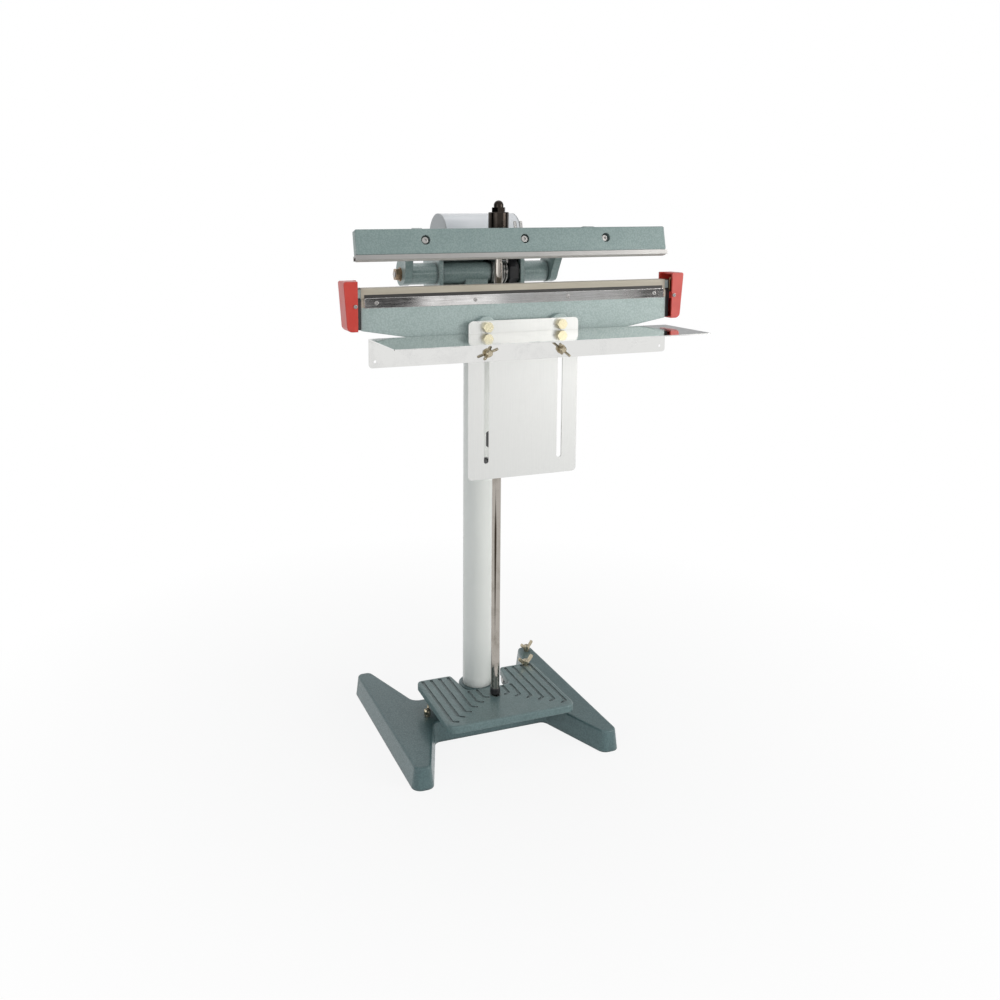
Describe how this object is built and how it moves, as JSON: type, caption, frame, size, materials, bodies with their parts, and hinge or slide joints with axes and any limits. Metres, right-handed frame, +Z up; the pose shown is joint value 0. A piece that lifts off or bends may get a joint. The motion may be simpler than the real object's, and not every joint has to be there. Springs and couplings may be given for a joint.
{
  "type": "foot pedal impulse sealer",
  "caption": "Free-standing impulse sealer: a pedal pulls a rod that closes a hinged upper jaw on a heated lower jaw, with a height-adjustable shelf.",
  "frame": {"origin": "the column's axis at floor level, on the underside of the base's column socket", "axes": "+X along the jaws to the operator's right, +Y away from the operator towards the hinge side, +Z up the column"},
  "size_m": [0.5356, 0.4384, 0.8675],
  "materials": {
    "alloy": "natural extrusion",
    "base_paint": "darker grey-green hammer finish, glossy",
    "black_plastic": "moulded, fine grain",
    "black_steel": "blackened, satin",
    "board": "printed board",
    "bronze": "bronze, satin",
    "cloth": "coated glass cloth, satin",
    "column_paint": "off-white, smooth gloss",
    "dark_chrome": "black nickel plate, glossy",
    "hood_paint": "white, semi-gloss",
    "iron_core": "varnished laminations",
    "jaw_paint": "grey-green hammer finish, glossy",
    "lens_red": "clear red lens and black fittings",
    "panel_paint": "light grey, satin",
    "plate_steel": "bright stainless sheet, satin",
    "red_plastic": "moulded, semi-gloss",
    "ribbon": "resistance ribbon, bare",
    "rod_chrome": "bright plated",
    "shelf_steel": "stainless sheet, mirror polished",
    "silicone": "sealing rubber, matt",
    "spring_steel": "drawn spring wire, oiled",
    "strip_chrome": "bright plated strip",
    "tape": "adhesive insulating tape",
    "zinc_plain": "plain zinc plate",
    "zinc_yellow": "pale yellow passivated zinc"
  },
  "bodies": {
    "stand": {"base_casting": "base_paint", "column_tube": "column_paint", "column_set_screws": "black_steel", "base_wing_screws": "zinc_yellow", "pedal_pivot_pins": "zinc_plain", "head_casting": "jaw_paint", "head_clamp_screws": "zinc_plain", "hinge_pin": "zinc_plain", "hinge_pin_nut": "bronze", "spring_collar": "black_steel", "lower_jaw_casting": "jaw_paint", "jaw_fixing_screws": "black_steel", "insulation_tape": "tape", "heating_element": "ribbon", "element_terminals": "bronze", "end_block_right": "black_plastic", "end_block_left": "black_plastic", "ptfe_cloth": "cloth", "front_clamp_strip": "strip_chrome", "rear_clamp_strip": "strip_chrome", "clamp_screws": "zinc_plain", "end_cap_right": "red_plastic", "end_cap_left": "red_plastic", "end_cap_screws": "zinc_plain", "shelf_guide_plate": "plate_steel", "plate_spacers": "zinc_plain", "guide_plate_bolts": "zinc_yellow", "control_hood": "hood_paint", "hood_end_plates": "panel_paint", "hood_floor": "panel_paint", "hood_screws": "zinc_plain", "transformer": "iron_core", "timer_board": "board", "switch_body": "black_plastic", "panel_fittings": "lens_red", "cord_gland": "black_plastic", "microswitch": "black_plastic"},
    "upper_jaw": {"upper_yoke": "jaw_paint", "arm_bushes": "bronze", "seat_washer": "zinc_plain", "upper_jaw_bar": "jaw_paint", "jaw_bar_screws": "zinc_plain", "rubber_holder": "alloy", "silicone_strip": "silicone", "return_spring": "spring_steel"},
    "pull_rod_group": {"pull_rod": "rod_chrome", "rod_foot_nut": "black_steel", "rod_ball_nut": "zinc_plain", "switch_collar": "black_plastic", "spring_seat": "zinc_plain", "rod_sleeve": "dark_chrome", "pressure_spring": "spring_steel", "dome_nut": "dark_chrome"},
    "pedal": {"pedal_casting": "base_paint", "pedal_wing_screw": "zinc_yellow"},
    "shelf": {"product_shelf": "shelf_steel", "shelf_wing_screws": "zinc_yellow", "shelf_clamp_nuts": "zinc_plain"},
    "timer": {"timer_knob": "black_plastic"},
    "power_rocker": {"switch_rocker": "black_plastic"}
  },
  "joints": [
    {"name": "jaw_hinge", "type": "hinge", "parent": "stand", "child": "upper_jaw", "pos_m": [0, 0.005, 0.755], "axis": [1, 0, 0], "range_deg": [0, 13], "stiffness_Nm_per_rad": 14, "springref_deg": -40.11},
    {"name": "pedal_hinge", "type": "hinge", "parent": "stand", "child": "pedal", "pos_m": [0, 0.002, 0.056], "axis": [1, 0, 0], "range_deg": [0, 14.3]},
    {"name": "rod_swing", "type": "hinge", "parent": "upper_jaw", "child": "pull_rod_group", "pos_m": [0, -0.0755, 0.796], "axis": [1, 0, 0], "range_deg": [-12.4, 0]},
    {"name": "shelf_slide", "type": "slide", "parent": "stand", "child": "shelf", "axis": [0, 0, 1], "range_m": [-0.155, 0]},
    {"name": "timer_turn", "type": "hinge", "parent": "stand", "child": "timer", "pos_m": [0.07, 0.016, 0.815], "axis": [1, 0, 0], "range_deg": [0, 270]},
    {"name": "power_rock", "type": "hinge", "parent": "stand", "child": "power_rocker", "pos_m": [-0.024, 0.052, 0.7945], "axis": [0, 0, -1], "range_deg": [0, 18]}
  ],
  "couplings": [
    {"joint": "pedal_hinge", "follows": "jaw_hinge", "ratio": 1.0909},
    {"joint": "rod_swing", "follows": "jaw_hinge", "ratio": -0.94885}
  ]
}
